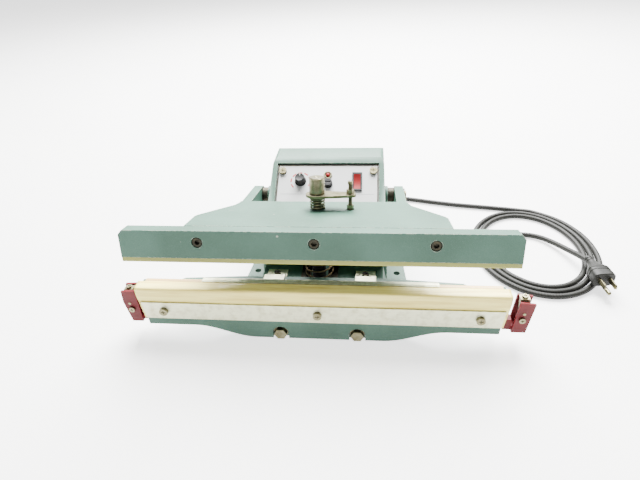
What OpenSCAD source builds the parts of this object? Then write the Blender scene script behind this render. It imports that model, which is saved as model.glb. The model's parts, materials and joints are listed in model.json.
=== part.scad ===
// Impulse heat sealer with a hinged sealing jaw that a rod pulls down from below.
// +X runs along the jaws, -Y faces the operator and +Z is up, in millimetres.
// The origin is the middle of the footprint, on the bench.

/* [Jaws] */
// Length of the upper jaw bar
bar_len = 410; // [380:2:430]
// Height of the upper jaw bar
bar_h = 30.5; // [26:0.5:34]
// Thickness of the upper jaw bar, front to back
bar_t = 15; // [12:0.5:18]
// Height of the silicone strip under the bar
silicone_h = 5.7; // [4:0.1:8]
// Opening of the jaws
jaw_open = 12; // [8:0.5:14]
// Length of the lower jaw
jaw_len = 398; // [370:2:410]
// Height of the lower jaw above the bench
jaw_top = 67.2; // [64:0.1:72]
// Thickness of the lower jaw, front to back
jaw_t = 12.5; // [10:0.5:16]

/* [Body] */
// Distance from the front of the jaw to the back wall
body_depth = 252; // [245:1:270]
// Width of the housing at its top
housing_w = 148; // [140:1:152]
// Height of the housing
housing_h = 134; // [130:1:140]
// Slope of the control panel
panel_slope = 33.5; // [30:0.5:36]
// Thickness of the housing walls
wall = 3.5; // [3:0.1:5]
// Distance between the bench holes, side to side
bench_hole_x = 184; // [180:1:190]
// Distance between the bench holes, front to back
bench_hole_y = 104; // [90:1:110]

/* [Hinge and rod] */
// Distance from the front of the jaw to the pivot
pivot_back = 173; // [170:1:176]
// Height of the pivot
pivot_z = 93; // [92:0.5:94]
// Diameter of the pivot shaft
shaft_d = 12; // [10:0.5:14]
// Diameter of the pull rod
rod_d = 10; // [8:0.5:12]
// Stroke of the pull rod against its spring
rod_stroke = 3.4; // [2:0.1:3.5]

/* [Cord] */
// Diameter of the mains cord
cord_d = 7.5; // [6:0.5:8]

/* [Hidden] */

// Colours
paint = [0.62, 0.76, 0.71];
steel = [0.74, 0.73, 0.66];
dark_steel = [0.3, 0.3, 0.29];
black = [0.12, 0.12, 0.12];
red = [0.72, 0.2, 0.2];
tan = [0.86, 0.8, 0.64];

// Places that everything else follows
front_reach = 5.92;
jaw_y = -(body_depth - front_reach) / 2;
back_y = jaw_y + body_depth;
pivot_y = jaw_y + pivot_back;
deck_z = 40;
web_z = 50;
slot_y = jaw_y + 70;
deck_back = jaw_y + 92;
floor_t = 10;
fit = 0.05;
gap = 0.3;

// Control panel plane: top edge, with s measured down the slope
panel_y = jaw_y + 197;
panel_z = 131;
panel_len = 70.5;
panel_w = 135;
panel_t = 2;
knob_pos = [-35.4, -29.5];
lamp_pos = [0.5, -20.5];
fuse_pos = [1.2, -33.8];
rocker_pos = [39, -30.4];

// Lower jaw and what lies on it
screw_x = [-174, 0, 174];
strip_z = 38.7;
strip_h = 22.6;
cloth_x = 203;
cloth_t = 0.4;
roll_y = jaw_y + 20.5;
roll_z = 59;
roll_r = 6;
tape_t = 0.5;
guard_len = 262;
guard_x = [-55, 52];
guard_foot_y = jaw_y + 66;

// Fixings of the body
bench_y = jaw_y + 113;
bench_hole_d = 8.5;
housing_holes = [for (x = [-60, 60], y = [118, 226]) [x, jaw_y + y]];
trafo_y = jaw_y + 198;
trafo_hole_x = 39;

// Upper jaw, described with the jaws closed
plate_z = 105;
plate_t = 5;
bar_top = plate_z;
arm_in = 87.1;
arm_out = 98.4;
rod_x0 = -3.5;
rod_y = jaw_y + 76.4;
arm_t = 3;
spring_h = 15;
contact_x = 33.7;
contact_z = plate_z + spring_h;
switch_z = plate_z - plate_t - 1.5;

// Points on an arc of radius r about c
function arc(c, r, a0, a1, n = 6) = [for (i = [0:n])
    let (a = a0 + (a1 - a0) * i / n) [c[0] + r * cos(a), c[1] + r * sin(a)]];
function mirrored(pts) = concat(pts, [for (i = [len(pts) - 1:-1:0]) [-pts[i][0], pts[i][1]]]);

// Sweeps a ring of n points along a path of points with unit tangents
function unit(v) = v / norm(v);
function tangent(p, i) = unit(p[min(i + 1, len(p) - 1)] - p[max(i - 1, 0)]);
function side_of(t) = unit(cross(t, abs(t[2]) > 0.9 ? [1, 0, 0] : [0, 0, 1]));
module sweep(path, r, n) {
    pts = [for (i = [0:len(path) - 1])
        let (t = tangent(path, i), s = side_of(t), u = cross(s, t))
        for (k = [0:n - 1]) path[i] + r * (cos(360 * k / n) * s + sin(360 * k / n) * u)];
    m = len(path);
    sides = [for (i = [0:m - 2]) for (k = [0:n - 1])
        [i * n + k, (i + 1) * n + k, (i + 1) * n + (k + 1) % n, i * n + (k + 1) % n]];
    ends = [[for (k = [0:n - 1]) k], [for (k = [n - 1:-1:0]) (m - 1) * n + k]];
    polyhedron(pts, concat(sides, ends));
}

// A spring of round wire, standing on z = 0, with its axis leaning by lean in Y
module coil_spring(r, wire, h, turns, lean = 0) {
    steps = 14;
    travel = h - 2 * wire;
    sweep([for (i = [0:turns * steps])
        let (f = i / (turns * steps), a = 360 * i / steps)
        [r * cos(a), r * sin(a) + lean * f, wire + travel * f]], wire, 6);
}

module on_panel() translate([0, panel_y, panel_z]) rotate([panel_slope, 0, 0]) children();
module raised() translate([0, pivot_y, pivot_z]) rotate([-jaw_open, 0, 0])
    translate([0, -pivot_y, -pivot_z]) children();
// Draws a profile in X and Z, from y0 backwards
module along_y(y0, len) translate([0, y0 + len, 0]) rotate([90, 0, 0]) linear_extrude(len) children();
// Draws a profile in Y and Z, from x0 to the right
module along_x(x0, len) translate([x0, 0, 0]) rotate([90, 0, 90]) linear_extrude(len) children();
module rod_x(d, len, y, z) translate([-len / 2, y, z]) rotate([0, 90, 0])
    cylinder(d = d, h = len, $fn = 48);
module both() { children(); mirror([1, 0, 0]) children(); }
// Pan head with a cross recess; the head stands on z = 0 and the shank goes down
module pan_screw(d, head, shank) {
    difference() {
        cylinder(d = head, h = 0.36 * head, $fn = 32);
        for (a = [0, 90]) rotate([0, 0, a])
            translate([-0.3 * head, -0.5, 0.2 * head]) cube([0.6 * head, 1, head]);
    }
    translate([0, 0, -shank]) cylinder(d = d, h = shank + 0.1, $fn = 24);
}

// ---- Body ----
function jaw_profile() = mirrored(concat([[0, 0], [70, 0]],
    [for (i = [0:10]) [72 + 70 * i / 10, 16 * (1 - cos(180 * i / 10)) / 2]],
    [[jaw_len / 2 - 2, 16], [jaw_len / 2, jaw_top]]));

module base_casting() color(paint) {
    difference() {
        union() {
            along_y(jaw_y, jaw_t) polygon(jaw_profile());
            along_y(jaw_y + jaw_t - 1, 14) polygon([[-190, 32], [190, 32], [194, web_z], [-194, web_z]]);
            // web behind the jaw, widest in the middle
            translate([0, 0, web_z - 7]) linear_extrude(7) translate([0, jaw_y]) polygon(
                mirrored([[0, 14], [191, 14], [190, 22], [162, 44], [86, 50], [0, 50]]));
            along_y(jaw_y + 10, 40) polygon([[-74, 0], [74, 0], [72, web_z - 1], [-72, web_z - 1]]);
            along_y(jaw_y + 10, 92 - 10) polygon([[-80, 0], [80, 0], [79, 12], [73, deck_z],
                [-73, deck_z], [-79, 12]]);
            linear_extrude(floor_t) translate([0, jaw_y]) polygon(
                mirrored([[0, 80], [96, 92], [104, 100], [102, 125], [100, 236], [94, 246], [0, 246]]));
            // upstand that locates the housing
            translate([-66, deck_back + wall + 1, 0]) cube([132, 12, floor_t + 6]);
        }
        // hollow under the deck
        along_y(jaw_y + 21, 64) polygon([[-74, -1], [74, -1], [73, 12], [66, deck_z - 8],
            [-66, deck_z - 8], [-73, 12]]);
        // opening that the rod swings in, under the spring seat
        translate([rod_x0 - 17, jaw_y + 52.5, deck_z - 20]) cube([34, 37.5, 40]);
        // round-topped pockets of the front bolts
        for (s = [-1, 1]) translate([s * 43.5, jaw_y - 1, 8]) rotate([-90, 0, 0]) {
            cylinder(d = 18, h = 5, $fn = 48);
            translate([-9, 0, 0]) cube([18, 10, 5]);
            cylinder(d = 8, h = 30, $fn = 32);
        }
        for (x = screw_x) translate([x, jaw_y - 1, strip_z]) rotate([-90, 0, 0])
            cylinder(d = 5, h = 13, $fn = 24);
        for (x = [-1, 1], y = [0, bench_hole_y]) translate([x * bench_hole_x / 2, bench_y + y, -1])
            cylinder(d = bench_hole_d, h = 20, $fn = 48);
        for (x = guard_x) translate([x, guard_foot_y, deck_z - 12]) cylinder(d = 4, h = 20, $fn = 24);
        for (p = housing_holes) translate([p[0], p[1], -1]) {
            cylinder(d = 5, h = 20, $fn = 24);
            cylinder(d = 8.4, h = 3.6, $fn = 32);
        }
        for (x = [-1, 1]) translate([x * trafo_hole_x, trafo_y, -1]) cylinder(d = 4, h = 20, $fn = 24);
    }
}

function housing_front(t) = let (w = housing_w / 2 - t, top = housing_h - t, r = 6 - min(t, 4))
    mirrored(concat([[0, floor_t], [w + 5, floor_t]], arc([w - r, top - r], r, 0, 90)));
function housing_side(t) = let (y0 = deck_back + t, y1 = back_y - t, top = housing_h - t, r = 22 - t)
    concat([[y0, floor_t], [y0, 84 - t]], [[jaw_y + 138 + t * 0.3, 92 - t * 1.1]],
        [[panel_y + t * 0.3, panel_z - t * 1.1], [panel_y + 6, top]],
        arc([y1 - r, top - r], r, 90, 10, 5), [[y1, floor_t]]);

module rear_housing() color(paint) {
    difference() {
        union() {
            intersection() {
                along_y(deck_back, body_depth - 92) polygon(housing_front(0));
                along_x(-90, 180) polygon(housing_side(0));
            }
            rod_x(24, 158, pivot_y, pivot_z);
        }
        difference() {
            intersection() {
                along_y(deck_back, body_depth - 92) polygon(housing_front(wall));
                along_x(-90, 180) polygon(housing_side(wall));
            }
            // inner bosses of the hinge and feet of the housing
            both() translate([62, pivot_y, pivot_z]) rotate([0, 90, 0]) cylinder(d = 22, h = 20, $fn = 48);
            for (p = housing_holes) translate([p[0] - (p[0] > 0 ? 7 : 25), p[1] - 7, floor_t])
                cube([32, 14, 9]);
        }
        translate([-90, deck_back - 1, floor_t - 2]) cube([180, body_depth, 2]);
        on_panel() translate([-panel_w / 2, -panel_len + 4, -8]) cube([panel_w, panel_len - 7, 20]);
        rod_x(shaft_d, 200, pivot_y, pivot_z);
        translate([45, back_y - 10, 26]) rotate([-90, 0, 0]) cylinder(d = 13, h = 20, $fn = 48);
        for (p = housing_holes) translate([p[0], p[1], floor_t - 1]) cylinder(d = 5, h = 8, $fn = 24);
    }
    // ledges that carry the panel
    on_panel() both() difference() {
        translate([-72, -panel_len + 4, -7.5]) cube([18, panel_len - 7, 4.1]);
        translate([-panel_w / 2, -panel_len, -4.5]) cube([panel_w, panel_len + 4, 10]);
        translate([-60, -14.5, -8]) cylinder(d = 4, h = 6, $fn = 24);
    }
}

module housing_screws() color(steel) for (p = housing_holes) translate([p[0], p[1], 0.4]) {
    cylinder(d = 8, h = 2.2, $fn = 32);
    cylinder(d = 4.9, h = 16, $fn = 24);
}

module control_panel() color("white") on_panel() difference() {
    translate([-panel_w / 2 + 0.5, -panel_len + 4.5, -4.5]) cube([panel_w - 1, panel_len - 8.5, panel_t]);
    for (x = [-1, 1]) translate([x * 60, -14.5, -10]) cylinder(d = 5, h = 20, $fn = 24);
    translate([knob_pos[0], knob_pos[1], -10]) cylinder(d = 7, h = 20, $fn = 32);
    translate([lamp_pos[0], lamp_pos[1], -10]) cylinder(d = 8, h = 20, $fn = 32);
    translate([fuse_pos[0], fuse_pos[1], -10]) cylinder(d = 9, h = 20, $fn = 32);
    translate([rocker_pos[0] - 5.5, rocker_pos[1] - 12, -10]) cube([11, 24, 20]);
}

module panel_screws() color(steel) on_panel()
    for (x = [-1, 1]) translate([x * 60, -14.5, -2.5]) pan_screw(3.9, 10, 6);

// ---- Controls ----
module timer_potentiometer() color(dark_steel) on_panel() translate([knob_pos[0], knob_pos[1], 0]) {
    translate([0, 0, -4.5 - 9]) cylinder(d = 20, h = 9, $fn = 48);
    translate([0, 0, -4.6]) cylinder(d = 6.9, h = 2, $fn = 32);
    translate([0, 0, -2.7]) cylinder(d = 5, h = 8.6, $fn = 32);
}

module timer_knob() color(black) on_panel() translate([knob_pos[0], knob_pos[1], -2.2]) difference() {
    union() {
        cylinder(d = 15, h = 2, $fn = 48);
        cylinder(d = 13, h = 11, $fn = 12);
    }
    translate([0, 0, -1]) cylinder(d = 5.1, h = 9.4, $fn = 32);
    translate([-0.5, 3, 10]) cube([1, 5, 3]);
}

module indicator_lamp() color(red) on_panel() translate([lamp_pos[0], lamp_pos[1], 0]) {
    translate([0, 0, -2.5]) difference() {
        cylinder(d = 11, h = 1.8, $fn = 32);
        translate([0, 0, 1]) cylinder(d = 7, h = 2, $fn = 32);
    }
    translate([0, 0, -1.5]) cylinder(d = 5.5, h = 2.2, $fn = 32);
    translate([0, 0, -18]) cylinder(d = 7.9, h = 15.6, $fn = 32);
}

module fuse_holder() color(black) on_panel() translate([fuse_pos[0], fuse_pos[1], 0]) difference() {
    union() {
        translate([0, 0, -2.5]) cylinder(d = 12, h = 2, $fn = 48);
        translate([0, 0, -30]) cylinder(d = 8.9, h = 27.6, $fn = 32);
    }
    translate([0, 0, -4]) cylinder(d = 6.6, h = 10, $fn = 32);
}

module fuse_cap() color(black) on_panel() translate([fuse_pos[0], fuse_pos[1], 0]) difference() {
    union() {
        translate([0, 0, -0.2]) cylinder(d = 10.5, h = 5, $fn = 48);
        translate([0, 0, -3.7]) cylinder(d = 6.5, h = 5, $fn = 32);
    }
    translate([-4, -0.6, 3.8]) cube([8, 1.2, 3]);
}

module switch_bezel() color(black) on_panel() translate([rocker_pos[0], rocker_pos[1], 0]) difference() {
    union() {
        translate([-6.5, -13.5, -2.5]) cube([13, 27, 2.3]);
        translate([-5.4, -11.9, -22]) cube([10.8, 23.8, 20]);
    }
    translate([-4.7, -11.2, -9]) cube([9.4, 22.4, 12]);
    translate([-6, 0, -3]) rotate([0, 90, 0]) cylinder(d = 2.1, h = 12, $fn = 24);
}

// The rocker turns about X at its middle; its upper half is pressed in
rocker_tilt = 9;
module switch_rocker() color(red) on_panel()
    translate([rocker_pos[0], rocker_pos[1], -3]) rotate([rocker_tilt, 0, 0]) {
        along_x(-4.4, 8.8) polygon(
            concat([[-10.2, 1.8], [-6, -4], [6, -4], [10.2, 1.8]], arc([0, 33.6], 32, -71.5, -108.5, 6)));
        translate([-5.2, 0, 0]) rotate([0, 90, 0]) cylinder(d = 2, h = 10.4, $fn = 24);
    }

// ---- Inside the housing ----
module transformer_core() color(dark_steel) translate([0, trafo_y, floor_t]) difference() {
    union() {
        translate([-33, -14, 0]) cube([66, 28, 56]);
        translate([-46, -9, 0]) cube([92, 18, 2]);
    }
    for (x = [-1, 1]) translate([x * 16 - 5.5, -20, 16]) cube([11, 40, 28]);
    for (x = [-1, 1]) translate([x * trafo_hole_x, 0, -1]) cylinder(d = 4.4, h = 5, $fn = 32);
}

module transformer_coil() color(tan) translate([0, trafo_y, floor_t]) difference() {
    translate([-21.2, -24, 16.3]) cube([42.4, 48, 27.4]);
    translate([-10.8, -14.3, 10]) cube([21.6, 28.6, 40]);
    for (s = [-1, 1]) translate([s * 22.5 - 1.5, -14.3, 10]) cube([3, 28.6, 40]);
}

module transformer_bolts() color(steel) for (x = [-1, 1])
    translate([x * trafo_hole_x, trafo_y, floor_t + 2]) pan_screw(3.9, 8, 9);

board_z = floor_t + 8;
module circuit_board() color("darkgreen") translate([-40, jaw_y + 104, board_z]) difference() {
    cube([80, 48, 1.6]);
    for (x = [4, 76], y = [4, 44]) translate([x, y, -1]) cylinder(d = 3.4, h = 5, $fn = 24);
}

module board_posts() color("white")
    for (x = [-36, 36], y = [108, 148]) translate([x, jaw_y + y, y < 115 ? floor_t + 6 : floor_t])
        cylinder(d = 6, h = board_z - (y < 115 ? floor_t + 6 : floor_t), $fn = 24);

module power_relay() color("royalblue")
    translate([10, jaw_y + 118, board_z + 1.6]) cube([20, 16, 19]);

// ---- Lower jaw ----
module cloth_clamp_strip() color("gainsboro") along_y(jaw_y - 2.5, 2) difference() {
    translate([0, strip_z]) polygon([[-jaw_len / 2 + 2.5, -strip_h / 2], [jaw_len / 2 - 2.5, -strip_h / 2],
        [jaw_len / 2, strip_h / 2], [-jaw_len / 2, strip_h / 2]]);
    for (x = screw_x) translate([x, strip_z]) circle(d = 5.4, $fn = 32);
}

module clamp_strip_screws() color(steel)
    for (x = screw_x) translate([x, jaw_y - 2.5, strip_z]) rotate([90, 0, 0]) pan_screw(4.9, 9.5, 12);

// The cloth comes up from the front of the roll, passes over the jaw and goes down behind the clamp strip
module ptfe_cloth() color(tan) {
    top = jaw_top + 0.9;
    difference() {
        along_x(-cloth_x, 2 * cloth_x) polygon(concat(
            [[jaw_y - cloth_t - 0.1, 26], [jaw_y - cloth_t - 0.1, top - 1.6]],
            arc([jaw_y + 1.5, top - 1.6], 1.6 + cloth_t, 180, 90, 4),
            arc([jaw_y + jaw_t - 0.3, top - 1.6], 1.6 + cloth_t, 90, 0, 4),
            [[roll_y - roll_r - 0.3, roll_z + 0.4], [roll_y - roll_r - 0.3 - cloth_t, roll_z + 0.4]],
            arc([jaw_y + jaw_t - 0.3, top - 1.6], 1.6, 0, 90, 4),
            arc([jaw_y + 1.5, top - 1.6], 1.6, 90, 180, 4), [[jaw_y - 0.1, 26]]));
        for (x = screw_x) translate([x, jaw_y - 3, strip_z]) rotate([-90, 0, 0])
            cylinder(d = 5.6, h = 6, $fn = 32);
    }
}

module insulation_tape() color("burlywood")
    translate([-jaw_len / 2 + 1, jaw_y + 1, jaw_top]) cube([jaw_len - 2, jaw_t - 2, tape_t]);

module heating_element() color(steel)
    translate([-jaw_len / 2 - 1.5, jaw_y + 4.5, jaw_top + tape_t]) cube([jaw_len + 3, 3, 0.3]);

module cloth_roll() color(tan) difference() {
    rod_x(2 * roll_r, 2 * cloth_x - 10, roll_y, roll_z);
    rod_x(6.1, 2 * cloth_x, roll_y, roll_z);
}

module roll_axle() color(steel) rod_x(6, 2 * cloth_x - 1, roll_y, roll_z);

module roll_brackets() color(paint) both() difference() {
    translate([cloth_x - 4.7, jaw_y + jaw_t + 0.1, 26]) union() {
        cube([3, 12, roll_z - 26]);
        translate([1.5, 8, roll_z - 26]) rotate([0, 90, 0]) translate([0, 0, -1.5])
            cylinder(r = 5, h = 3, $fn = 32);
        translate([-18, 0, 0]) cube([21, 12, 6]);
    }
    rod_x(6.1, 2 * cloth_x, roll_y, roll_z);
}

// Curved strip round the top and back of the roll, with two cranked feet screwed to the deck
module roll_guard() color("gainsboro") {
    inner = roll_r + 1.2;
    along_x(-guard_len / 2, guard_len) polygon(concat(
        arc([roll_y, roll_z], inner + 1, 116, -50, 10), arc([roll_y, roll_z], inner, -50, 116, 10)));
    for (x = guard_x) difference() {
        along_x(x - 12, 24) polygon([[jaw_y + 27.8, web_z + 9], [jaw_y + 27.8, web_z],
            [jaw_y + 50.2, web_z], [jaw_y + 50.2, deck_z], [jaw_y + 75, deck_z], [jaw_y + 75, deck_z + 1.6],
            [jaw_y + 51.8, deck_z + 1.6], [jaw_y + 51.8, web_z + 1.6], [jaw_y + 29.3, web_z + 1.6],
            [jaw_y + 29.3, web_z + 9]]);
        translate([x, guard_foot_y, deck_z - 2]) cylinder(d = 4.4, h = 6, $fn = 32);
    }
}

module guard_screws() color(dark_steel)
    for (x = guard_x) translate([x, guard_foot_y, deck_z + 1.6]) pan_screw(3.9, 8, 10);

// Terminal blocks: channels on the ends of the jaw, open at the top; the right one sits further out
block_x = [cloth_x + 0.4, cloth_x + 5.2];
block_y = jaw_y - 1;
block_d = 16;
block_screw = [8.4, 39];
pin_pos = [9.5, 47];
module terminal_block(x, outline) difference() {
    union() {
        translate([x, 0]) along_y(block_y, block_d) polygon(outline);
        translate([jaw_len / 2 + 0.1, jaw_y + 2, 22]) cube([x + 3 - jaw_len / 2, 9, 14]);
    }
    translate([x - 1, block_y + 2.5, 27]) cube([22, block_d - 5, 44]);
    translate([x + pin_pos[0], block_y - 1, pin_pos[1]]) rotate([-90, 0, 0])
        cylinder(d = 3, h = 20, $fn = 32);
    translate([x + block_screw[0], block_y - 1, block_screw[1]]) rotate([-90, 0, 0])
        cylinder(d = 4, h = 5, $fn = 32);
}
module terminal_block_right() color(red)
    terminal_block(block_x[1], [[0, 20.5], [15, 20.5], [19.5, 60], [3.5, 62]]);
module terminal_block_left() color(red) mirror([1, 0, 0])
    terminal_block(block_x[0], [[0, 20.5], [12.5, 20.5], [17, 49], [16, 64], [0, 65]]);
module at_blocks() {
    translate([block_x[1], 0, 0]) children();
    mirror([1, 0, 0]) translate([block_x[0], 0, 0]) children();
}

module terminal_screws() color(steel) at_blocks()
    translate([block_screw[0], block_y, block_screw[1]]) rotate([90, 0, 0]) pan_screw(3.9, 6.6, 2.5);

module terminal_pins() color(steel) at_blocks()
    translate([pin_pos[0], block_y - 0.6, pin_pos[1]]) rotate([-90, 0, 0])
        cylinder(d = 2.98, h = block_d + 1.2, $fn = 32);

// Sprung lever that keeps the element tight; it turns on the pin in the block
module tension_lever() {
    difference() {
        along_y(block_y + 5.5, 5) polygon([[5.5, 43], [13, 43], [15, 58], [13, 62.4], [5, 62.4], [4.6, 58]]);
        translate([pin_pos[0], block_y, pin_pos[1]]) rotate([-90, 0, 0])
            cylinder(d = 3.08, h = 16, $fn = 32);
    }
    translate([4, block_y + 4, 62.3]) cube([10, 8, 1.6]);
    translate([9, block_y + 8, 63.8]) pan_screw(3, 6, 2);
}
module tension_lever_right() color(steel) translate([block_x[1], 0, 0]) tension_lever();
module tension_lever_left() color(steel) mirror([1, 0, 0]) translate([block_x[0], 0, 0]) tension_lever();

module front_bolts() color(steel)
    for (s = [-1, 1]) translate([s * 43.5, jaw_y + 3.9, 8]) rotate([90, 0, 0]) {
        cylinder(d = 16, h = 1.4, $fn = 48);
        cylinder(d = 13 / cos(30), h = 7, $fn = 6);
        translate([0, 0, -16]) cylinder(d = 7.9, h = 17, $fn = 32);
    }

// Slotted plate over the opening of the deck, which carries the return spring
seat_t = 2;
module spring_seat() color(dark_steel) translate([rod_x0, jaw_y, deck_z]) difference() {
    translate([-22, 50.3, 0]) cube([44, 40.7, seat_t]);
    translate([-10, 53.2, -1]) cube([20, 33.6, 5]);
}

module return_spring() color(steel)
    translate([rod_x0, slot_y - 0.4, deck_z + seat_t]) coil_spring(16.2, 1.1, 74, 9, 8);

module hinge_pins() color(steel) both()
    translate([60, pivot_y, pivot_z]) rotate([0, 90, 0]) cylinder(d = shaft_d - 0.02, h = 43, $fn = 48);

module shaft_rings() color(dark_steel) both() difference() {
    translate([arm_out + gap, pivot_y, pivot_z]) rotate([0, 90, 0]) cylinder(d = 18, h = 2, $fn = 48);
    rod_x(shaft_d, 220, pivot_y, pivot_z);
}

module pivot_spacers() color(dark_steel) both() difference() {
    translate([79.1, pivot_y, pivot_z]) rotate([0, 90, 0]) cylinder(d = 20, h = arm_in - 79.1 - gap, $fn = 48);
    rod_x(shaft_d, 220, pivot_y, pivot_z);
}

// ---- Upper jaw ----
function plate_outline() = mirrored([[0, 15.8], [139, 15.8], [138.2, 47], [136, 52], [118, 73],
    [103, 90], [arm_out + 1.5, 100], [arm_out + 1.5, 104], [0, 104]]);
arm_r = plate_z - pivot_z;
module upper_casting() color(paint) raised() difference() {
    union() {
        translate([0, 0, plate_z - plate_t]) linear_extrude(plate_t) translate([0, jaw_y])
            polygon(plate_outline());
        along_y(jaw_y + bar_t + 0.8, 6.4) polygon([[-139, plate_z], [139, plate_z], [133, plate_z - 27],
            [-133, plate_z - 27]]);
        // side walls that run on as the arms
        both() along_x(arm_in, arm_out - arm_in) polygon(concat([[jaw_y + 20, plate_z - 22],
            [jaw_y + 20, plate_z - 1]], [[jaw_y + 104, plate_z]],
            arc([pivot_y, pivot_z], arm_r, 90, -90, 16), [[jaw_y + 100, pivot_z - arm_r]]));
        both() translate([55, jaw_y + 20, plate_z - 14]) cube([5, 84, 12]);
        translate([rod_x0, rod_y, plate_z - 11]) cylinder(d = 26, h = 10, $fn = 48);
        // rib that carries the microswitch
        translate([contact_x - 16, rod_y + 5.3, plate_z - 22]) cube([32, 4, 18]);
    }
    for (x = [-11, 11]) translate([contact_x + x, rod_y, switch_z - 13]) rotate([-90, 0, 0])
        cylinder(d = 3, h = 16, $fn = 24);
    for (x = [-121, 0, 121]) translate([x, jaw_y, plate_z - 12.8]) rotate([-90, 0, 0])
        cylinder(d = 5, h = 40, $fn = 32);
    translate([rod_x0, rod_y, plate_z - 20]) cylinder(d = rod_d + 0.12, h = 40, $fn = 48);
    translate([contact_x, rod_y, plate_z - 20]) cylinder(d = 9.8, h = 40, $fn = 32);
    rod_x(shaft_d + 4, 240, pivot_y, pivot_z);
}

module pivot_bushes() color([0.72, 0.58, 0.3]) raised() both() difference() {
    translate([arm_in, pivot_y, pivot_z]) rotate([0, 90, 0])
        cylinder(d = shaft_d + 4, h = arm_out - arm_in, $fn = 48);
    rod_x(shaft_d + 2 * fit, 240, pivot_y, pivot_z);
}

module upper_jaw_bar() color(paint) raised() difference() {
    along_y(jaw_y, bar_t) polygon(mirrored([[0, bar_top - bar_h], [bar_len / 2, bar_top - bar_h],
        [bar_len / 2, bar_top - 5], [bar_len / 2 - 4.5, bar_top], [0, bar_top]]));
    for (x = [-121, 0, 121]) translate([x, jaw_y - 1, plate_z - 12.8]) rotate([-90, 0, 0]) {
        cylinder(d = 11.6, h = 7, $fn = 48);
        cylinder(d = 6.6, h = 40, $fn = 32);
    }
}

module jaw_bar_screws() color(dark_steel) raised()
    for (x = [-121, 0, 121]) translate([x, jaw_y + 6, plate_z - 12.8]) rotate([90, 0, 0]) difference() {
        union() {
            cylinder(d = 10, h = 5.4, $fn = 48);
            translate([0, 0, -14]) cylinder(d = 4.9, h = 15, $fn = 32);
        }
        translate([0, 0, 2.6]) cylinder(d = 5 / cos(30), h = 4, $fn = 6);
    }

module silicone_strip() color([0.86, 0.85, 0.6]) raised()
    along_x(-bar_len / 2, bar_len) translate([jaw_y, bar_top - bar_h - silicone_h])
        polygon(concat([[0.5, silicone_h]], arc([2.5, 2], 2, 180, 270, 5),
            arc([bar_t - 2.5, 2], 2, 270, 360, 5), [[bar_t - 0.5, silicone_h]]));

module timer_microswitch() color(black) raised() difference() {
    union() {
        translate([contact_x - 14, rod_y - 5.2, switch_z - 17]) cube([28, 10.4, 16]);
        for (x = [-11, 0, 11]) translate([contact_x + x - 0.4, rod_y - 3, switch_z - 24])
            cube([0.8, 6, 8]);
    }
    translate([contact_x, rod_y, switch_z - 8]) cylinder(d = 5.2, h = 10, $fn = 32);
    for (x = [-11, 11]) translate([contact_x + x, rod_y - 8, switch_z - 13]) rotate([-90, 0, 0])
        cylinder(d = 3, h = 16, $fn = 24);
}

module microswitch_screws() color(steel) raised() for (x = [-11, 11])
    translate([contact_x + x, rod_y - 5.2, switch_z - 13]) rotate([90, 0, 0]) pan_screw(2.9, 5.5, 10);

// The plunger stands out of the plate under the contact screw
module switch_plunger() color(steel) raised() translate([contact_x, rod_y, 0]) {
    translate([0, 0, switch_z - 4.4]) cylinder(d = 5, h = 8, $fn = 32);
    translate([0, 0, plate_z - 3]) cylinder(d = 6.9, h = 4.2, $fn = 32);
}

// ---- Pull rod ----
rod_bottom = 8;
sleeve_bottom = 21;
// The hole in its lower end takes the pedal linkage
module pull_rod() color(steel) raised() difference() {
    translate([rod_x0, rod_y, rod_bottom]) cylinder(d = rod_d, h = contact_z + 16 - rod_bottom, $fn = 48);
    translate([rod_x0, rod_y, rod_bottom - 1]) cylinder(d = 5, h = 13, $fn = 32);
}

module rod_sleeve() color(black) raised() difference() {
    translate([rod_x0, rod_y, sleeve_bottom]) cylinder(d = 16, h = plate_z - 11.5 - sleeve_bottom, $fn = 48);
    translate([rod_x0, rod_y, 0]) cylinder(d = rod_d, h = 120, $fn = 48);
}

// Arm from the rod to the contact screw, tapering from its big end
module contact_arm() color(steel) raised() difference() {
    translate([rod_x0, rod_y, contact_z]) linear_extrude(arm_t) polygon(concat(
        arc([0, 0], 13, 100, 260, 12), arc([contact_x - rod_x0, 0], 6.5, -80, 80, 8)));
    translate([rod_x0, rod_y, contact_z - 1]) cylinder(d = rod_d, h = 10, $fn = 48);
    translate([contact_x, rod_y, contact_z - 1]) cylinder(d = 4, h = 10, $fn = 32);
}

module rod_nut() color(steel) raised() difference() {
    translate([rod_x0, rod_y, contact_z + arm_t]) cylinder(d = 17.6, h = 19, $fn = 48);
    translate([rod_x0, rod_y, contact_z]) cylinder(d = rod_d, h = 16, $fn = 48);
}

module pressure_spring() color(steel) raised()
    translate([rod_x0, rod_y, plate_z + 0.1]) coil_spring(7.8, 1, spring_h - 0.4, 4);

module contact_screw() color(steel) raised() translate([contact_x, rod_y, 0]) {
    translate([0, 0, plate_z + 3]) cylinder(d = 4, h = spring_h + arm_t + 9, $fn = 32);
    translate([0, 0, plate_z + 1.5]) cylinder(d = 8, h = 3.6, $fn = 6);
    translate([0, 0, contact_z + arm_t + 10.9]) difference() {
        cylinder(d = 5.6, h = 3.4, $fn = 32);
        translate([-4, -0.5, 2.2]) cube([8, 1, 3]);
    }
}

module contact_lock_nut() color(steel) raised() translate([contact_x, rod_y, contact_z + arm_t]) difference() {
    union() {
        cylinder(d = 9, h = 1, $fn = 32);
        cylinder(d = 7.5 / cos(30), h = 5, $fn = 6);
    }
    translate([0, 0, -1]) cylinder(d = 4, h = 8, $fn = 32);
}

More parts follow.
